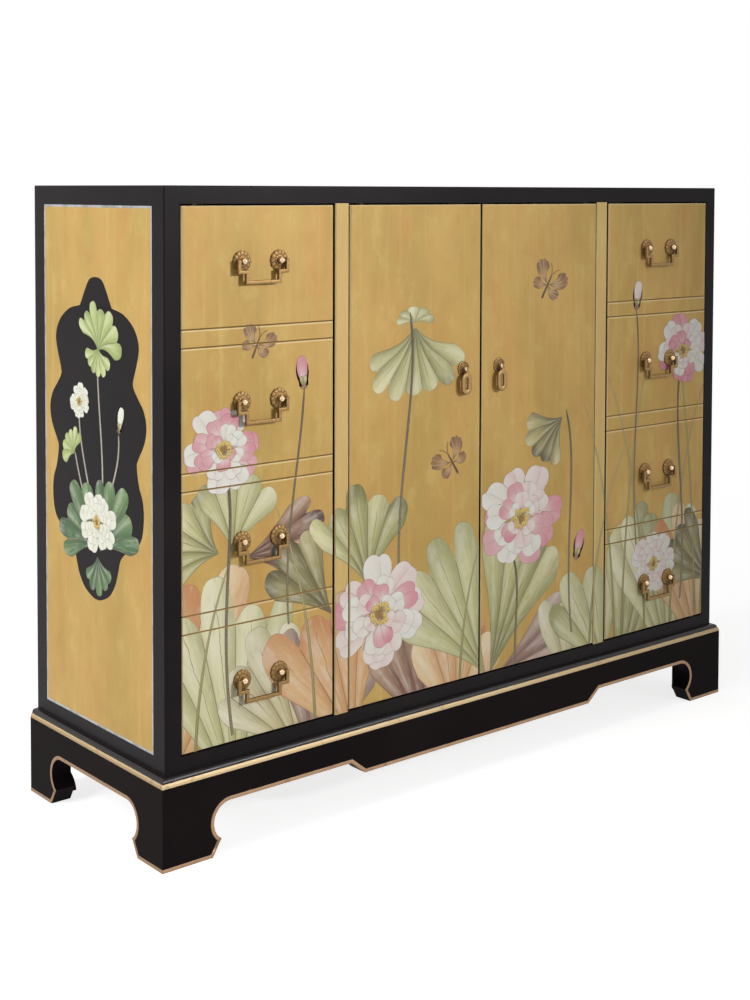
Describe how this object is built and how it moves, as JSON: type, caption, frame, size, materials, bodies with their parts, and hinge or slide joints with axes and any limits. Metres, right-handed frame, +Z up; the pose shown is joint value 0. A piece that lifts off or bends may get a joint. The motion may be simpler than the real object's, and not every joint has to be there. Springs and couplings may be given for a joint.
{
  "type": "entryway cabinet",
  "caption": "Black lacquered cabinet on a bracket-foot base with gilded doors: tall outer ones scored like drawer fronts with bail handles, plain inner ones with drop pulls, shelves inside.",
  "frame": {"origin": "middle of the cabinet's box, on the floor under the feet", "axes": "+X to the right seen from the front, +Y to the back, +Z up"},
  "size_m": [1.2, 0.379, 0.93],
  "materials": {
    "black_lacquer": "black lacquer, semi-gloss",
    "gold_leaf": "brushed gold leaf under clear lacquer, satin",
    "gilded_moulding": "gilded band under a black lacquered bead",
    "inside_wood": "dark stained wood, matt",
    "antique_brass": "antique brass, dark in the hollows",
    "steel": "nickelled steel",
    "catch_plastic": "black plastic round a magnet"
  },
  "bodies": {
    "root": {"left_front_post": "black_lacquer", "right_front_post": "black_lacquer", "left_back_post": "black_lacquer", "right_back_post": "black_lacquer", "front_top_rail": "black_lacquer", "back_top_rail": "black_lacquer", "left_top_rail": "black_lacquer", "right_top_rail": "black_lacquer", "front_bottom_rail": "black_lacquer", "back_bottom_rail": "black_lacquer", "left_bottom_rail": "black_lacquer", "right_bottom_rail": "black_lacquer", "top_panel": "black_lacquer", "bottom_panel": "inside_wood", "left_side_panel": "gold_leaf", "right_side_panel": "gold_leaf", "back_panel": "black_lacquer", "left_stile": "gold_leaf", "right_stile": "gold_leaf", "left_partition": "inside_wood", "right_partition": "inside_wood", "left_shelves": "inside_wood", "centre_shelves": "inside_wood", "right_shelves": "inside_wood", "shelf_pins": "steel", "front_apron": "black_lacquer", "back_apron": "black_lacquer", "left_apron": "black_lacquer", "right_apron": "black_lacquer", "base_moulding": "gilded_moulding", "corner_blocks": "black_lacquer", "case_pivot_plates": "antique_brass", "magnetic_catches": "catch_plastic"},
    "left_outer_door": {"left_outer_door": "gold_leaf", "left_outer_pivot_plates": "antique_brass", "left_outer_strike": "steel", "left_bail_mounts": "antique_brass"},
    "left_inner_door": {"left_inner_door": "gold_leaf", "left_inner_pivot_plates": "antique_brass", "left_inner_strike": "steel", "left_pull_mount": "antique_brass"},
    "left_bail_1": {"left_bail_1": "antique_brass"},
    "left_bail_2": {"left_bail_2": "antique_brass"},
    "left_bail_3": {"left_bail_3": "antique_brass"},
    "left_bail_4": {"left_bail_4": "antique_brass"},
    "left_drop": {"left_drop": "antique_brass"},
    "right_outer_door": {"right_outer_door": "gold_leaf", "right_outer_pivot_plates": "antique_brass", "right_outer_strike": "steel", "right_bail_mounts": "antique_brass"},
    "right_inner_door": {"right_inner_door": "gold_leaf", "right_inner_pivot_plates": "antique_brass", "right_inner_strike": "steel", "right_pull_mount": "antique_brass"},
    "right_bail_1": {"right_bail_1": "antique_brass"},
    "right_bail_2": {"right_bail_2": "antique_brass"},
    "right_bail_3": {"right_bail_3": "antique_brass"},
    "right_bail_4": {"right_bail_4": "antique_brass"},
    "right_drop": {"right_drop": "antique_brass"}
  },
  "joints": [
    {"name": "left_outer_hinge", "type": "hinge", "parent": "root", "child": "left_outer_door", "pos_m": [-0.537, -0.1705, 0.52675], "axis": [0, 0, -1], "range_deg": [0, 105]},
    {"name": "left_inner_hinge", "type": "hinge", "parent": "root", "child": "left_inner_door", "pos_m": [-0.2435, -0.1705, 0.52675], "axis": [0, 0, -1], "range_deg": [0, 105]},
    {"name": "left_bail_1_swing", "type": "hinge", "parent": "left_outer_door", "child": "left_bail_1", "pos_m": [-0.43, -0.185, 0.825], "axis": [-1, 0, 0], "range_deg": [-5, 150]},
    {"name": "left_bail_2_swing", "type": "hinge", "parent": "left_outer_door", "child": "left_bail_2", "pos_m": [-0.43, -0.185, 0.6285], "axis": [-1, 0, 0], "range_deg": [-5, 150]},
    {"name": "left_bail_3_swing", "type": "hinge", "parent": "left_outer_door", "child": "left_bail_3", "pos_m": [-0.43, -0.185, 0.432], "axis": [-1, 0, 0], "range_deg": [-5, 150]},
    {"name": "left_bail_4_swing", "type": "hinge", "parent": "left_outer_door", "child": "left_bail_4", "pos_m": [-0.43, -0.185, 0.2355], "axis": [-1, 0, 0], "range_deg": [-5, 150]},
    {"name": "left_drop_swing", "type": "hinge", "parent": "left_inner_door", "child": "left_drop", "pos_m": [-0.039, -0.185, 0.645], "axis": [-1, 0, 0], "range_deg": [-4, 120]},
    {"name": "right_outer_hinge", "type": "hinge", "parent": "root", "child": "right_outer_door", "pos_m": [0.537, -0.1705, 0.52675], "axis": [0, 0, 1], "range_deg": [0, 105]},
    {"name": "right_inner_hinge", "type": "hinge", "parent": "root", "child": "right_inner_door", "pos_m": [0.2435, -0.1705, 0.52675], "axis": [0, 0, 1], "range_deg": [0, 105]},
    {"name": "right_bail_1_swing", "type": "hinge", "parent": "right_outer_door", "child": "right_bail_1", "pos_m": [0.43, -0.185, 0.825], "axis": [-1, 0, 0], "range_deg": [-5, 150]},
    {"name": "right_bail_2_swing", "type": "hinge", "parent": "right_outer_door", "child": "right_bail_2", "pos_m": [0.43, -0.185, 0.6285], "axis": [-1, 0, 0], "range_deg": [-5, 150]},
    {"name": "right_bail_3_swing", "type": "hinge", "parent": "right_outer_door", "child": "right_bail_3", "pos_m": [0.43, -0.185, 0.432], "axis": [-1, 0, 0], "range_deg": [-5, 150]},
    {"name": "right_bail_4_swing", "type": "hinge", "parent": "right_outer_door", "child": "right_bail_4", "pos_m": [0.43, -0.185, 0.2355], "axis": [-1, 0, 0], "range_deg": [-5, 150]},
    {"name": "right_drop_swing", "type": "hinge", "parent": "right_inner_door", "child": "right_drop", "pos_m": [0.039, -0.185, 0.645], "axis": [-1, 0, 0], "range_deg": [-4, 120]}
  ]
}
